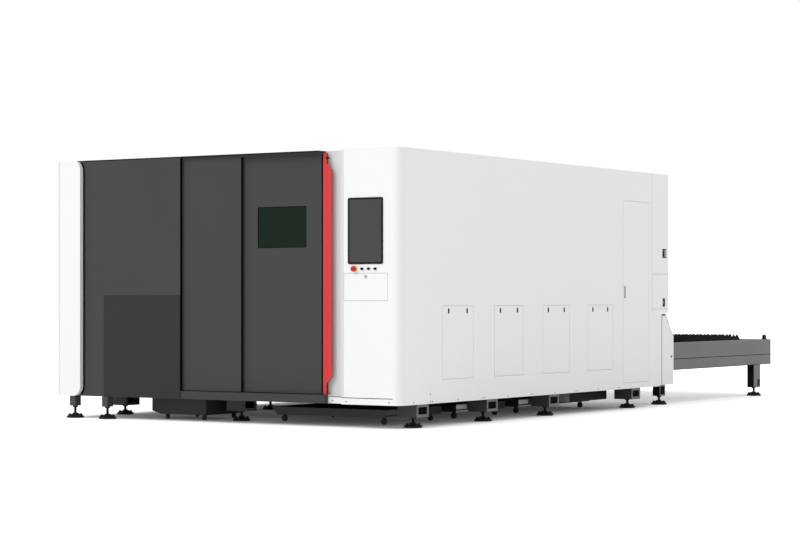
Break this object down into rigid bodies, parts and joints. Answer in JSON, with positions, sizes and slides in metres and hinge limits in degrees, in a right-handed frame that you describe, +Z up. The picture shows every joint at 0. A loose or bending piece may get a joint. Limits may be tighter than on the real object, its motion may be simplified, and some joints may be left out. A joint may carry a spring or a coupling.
{
  "type": "fiber laser cutting machine",
  "caption": "Enclosed fiber laser cutting machine with telescopic front doors, a control pillar, side flaps, and saw-tooth pallets on a rear shuttle table.",
  "frame": {"origin": "middle of the machine's plan on the floor", "axes": "+X to the right as the operator faces the front, +Y from the front doors to the shuttle table, +Z up"},
  "size_m": [3.54, 7.533, 2.208],
  "materials": {
    "white_paint": "fine-texture powder coat",
    "dark_paint": "fine-texture powder coat",
    "darker_paint": "fine-texture powder coat",
    "red_paint": "semi-gloss powder coat",
    "grey_paint": "enamel on welded steel",
    "tray_paint": "enamel on folded steel",
    "bare_steel": "ground steel",
    "cut_steel": "laser-cut mild steel",
    "black_foot": "blackened casting",
    "black_plastic": "moulded",
    "screen": "glossy screen cover",
    "laser_window": "dark green laser-safe pane",
    "rubber_seal": "extruded",
    "red_plastic": "moulded",
    "yellow_plastic": "moulded",
    "aluminium": "milled"
  },
  "bodies": {
    "machine": {"bed_frame": "grey_paint", "foot_blocks": "darker_paint", "foot_pads": "black_foot", "foot_studs": "bare_steel", "right_wall": "white_paint", "left_wall": "white_paint", "roof": "white_paint", "rear_wall": "white_paint", "end_columns": "white_paint", "rear_skirts": "white_paint", "fixed_panel": "dark_paint", "access_panel": "darker_paint", "left_pillar": "white_paint", "control_pillar": "white_paint", "kick_plate": "white_paint", "door_sill": "darker_paint", "door_header": "darker_paint", "door_jamb": "white_paint", "monitor_housing": "black_plastic", "monitor_glass": "screen", "stop_collar": "yellow_plastic", "switch_pocket": "black_plastic", "table_frame": "grey_paint", "pallet_rails": "bare_steel", "end_stops": "black_plastic", "gantry_rails": "bare_steel"},
    "lead_leaf": {"lead_door": "dark_paint", "lead_rollers": "bare_steel", "door_window": "laser_window", "door_seal": "rubber_seal", "door_edge": "red_paint"},
    "trailing_leaf": {"trailing_door": "dark_paint", "trailing_rollers": "bare_steel"},
    "stop": {"stop_button": "red_plastic"},
    "button_1": {"push_button_1": "black_plastic"},
    "button_2": {"push_button_2": "black_plastic"},
    "button_3": {"push_button_3": "black_plastic"},
    "desk": {"keyboard_flap": "white_paint", "keyboard": "black_plastic"},
    "desk_lock": {"flap_lock": "bare_steel"},
    "hatch_1": {"side_flap_1": "white_paint"},
    "hatch_2": {"side_flap_2": "white_paint"},
    "hatch_3": {"side_flap_3": "white_paint"},
    "hatch_4": {"side_flap_4": "white_paint"},
    "service": {"service_door": "white_paint", "service_grip": "aluminium"},
    "fuse_door": {"box_door": "white_paint"},
    "fuse_latch": {"box_latch": "black_plastic"},
    "main_switch": {"switch_handle": "red_plastic"},
    "low_pallet": {"inner_pallet": "grey_paint", "inner_slats": "cut_steel"},
    "high_pallet": {"outer_pallet": "grey_paint", "outer_slats": "cut_steel"},
    "gantry": {"gantry_beam": "aluminium"},
    "cross_carriage": {"carriage": "aluminium"},
    "head": {"cutting_head": "black_plastic"},
    "tray_1": {"slag_tray_1": "tray_paint"},
    "tray_2": {"slag_tray_2": "tray_paint"},
    "tray_3": {"slag_tray_3": "tray_paint"},
    "bin": {"scrap_bin": "tray_paint"}
  },
  "joints": [
    {"name": "lead_door_slide", "type": "slide", "parent": "machine", "child": "lead_leaf", "axis": [-1, 0, 0], "range_m": [0, 1.392]},
    {"name": "trailing_door_slide", "type": "slide", "parent": "machine", "child": "trailing_leaf", "axis": [-1, 0, 0], "range_m": [0, 0.6115]},
    {"name": "stop_press", "type": "slide", "parent": "machine", "child": "stop", "axis": [0, 1, 0], "range_m": [0, 0.005], "stiffness_N_per_m": 800},
    {"name": "button_1_press", "type": "slide", "parent": "machine", "child": "button_1", "axis": [0, 1, 0], "range_m": [0, 0.004], "stiffness_N_per_m": 400},
    {"name": "button_2_press", "type": "slide", "parent": "machine", "child": "button_2", "axis": [0, 1, 0], "range_m": [0, 0.004], "stiffness_N_per_m": 400},
    {"name": "button_3_press", "type": "slide", "parent": "machine", "child": "button_3", "axis": [0, 1, 0], "range_m": [0, 0.004], "stiffness_N_per_m": 400},
    {"name": "keyboard_flap_turn", "type": "hinge", "parent": "machine", "child": "desk", "pos_m": [1.4485, -3.727, 1.0185], "axis": [1, 0, 0], "range_deg": [0, 90]},
    {"name": "flap_lock_turn", "type": "hinge", "parent": "desk", "child": "desk_lock", "pos_m": [1.4485, -3.7335, 1.199], "axis": [0, -1, 0], "range_deg": [0, 90]},
    {"name": "side_flap_1_turn", "type": "hinge", "parent": "machine", "child": "hatch_1", "pos_m": [1.7635, -2.8635, 0.3865], "axis": [0, 1, 0], "range_deg": [0, 90]},
    {"name": "side_flap_2_turn", "type": "hinge", "parent": "machine", "child": "hatch_2", "pos_m": [1.7635, -2.0345, 0.3865], "axis": [0, 1, 0], "range_deg": [0, 90]},
    {"name": "side_flap_3_turn", "type": "hinge", "parent": "machine", "child": "hatch_3", "pos_m": [1.7635, -1.2055, 0.3865], "axis": [0, 1, 0], "range_deg": [0, 90]},
    {"name": "side_flap_4_turn", "type": "hinge", "parent": "machine", "child": "hatch_4", "pos_m": [1.7635, -0.3765, 0.3865], "axis": [0, 1, 0], "range_deg": [0, 90]},
    {"name": "service_door_turn", "type": "hinge", "parent": "machine", "child": "service", "pos_m": [1.7635, 0.6, 1.0865], "axis": [0, 0, 1], "range_deg": [0, 90]},
    {"name": "box_door_turn", "type": "hinge", "parent": "machine", "child": "fuse_door", "pos_m": [1.7635, 0.69, 1.092], "axis": [0, 0, -1], "range_deg": [0, 90]},
    {"name": "box_latch_lift", "type": "hinge", "parent": "fuse_door", "child": "fuse_latch", "pos_m": [1.7635, 0.9315, 1.017], "axis": [0, -1, 0], "range_deg": [0, 40]},
    {"name": "main_switch_turn", "type": "hinge", "parent": "machine", "child": "main_switch", "pos_m": [1.75, 0.9415, 1.454], "axis": [1, 0, 0], "range_deg": [0, 90]},
    {"name": "low_pallet_shuttle", "type": "slide", "parent": "machine", "child": "low_pallet", "axis": [0, 1, 0], "range_m": [0, 3.5]},
    {"name": "high_pallet_shuttle", "type": "slide", "parent": "machine", "child": "high_pallet", "axis": [0, -1, 0], "range_m": [0, 3.5]},
    {"name": "gantry_travel", "type": "slide", "parent": "machine", "child": "gantry", "axis": [0, 1, 0], "range_m": [0, 2.6]},
    {"name": "carriage_travel", "type": "slide", "parent": "gantry", "child": "cross_carriage", "axis": [1, 0, 0], "range_m": [-1.28, 1.28]},
    {"name": "head_lift", "type": "slide", "parent": "cross_carriage", "child": "head", "axis": [0, 0, -1], "range_m": [0, 0.135]},
    {"name": "tray_1_pull", "type": "slide", "parent": "machine", "child": "tray_1", "axis": [1, 0, 0], "range_m": [0, 1.25]},
    {"name": "tray_2_pull", "type": "slide", "parent": "machine", "child": "tray_2", "axis": [1, 0, 0], "range_m": [0, 1.25]},
    {"name": "tray_3_pull", "type": "slide", "parent": "machine", "child": "tray_3", "axis": [1, 0, 0], "range_m": [0, 1.25]},
    {"name": "bin_pull", "type": "slide", "parent": "machine", "child": "bin", "axis": [0, -1, 0], "range_m": [0, 0.9]}
  ],
  "couplings": [
    {"joint": "trailing_door_slide", "follows": "lead_door_slide", "ratio": 0.43894},
    {"joint": "high_pallet_shuttle", "follows": "low_pallet_shuttle", "ratio": 1}
  ]
}
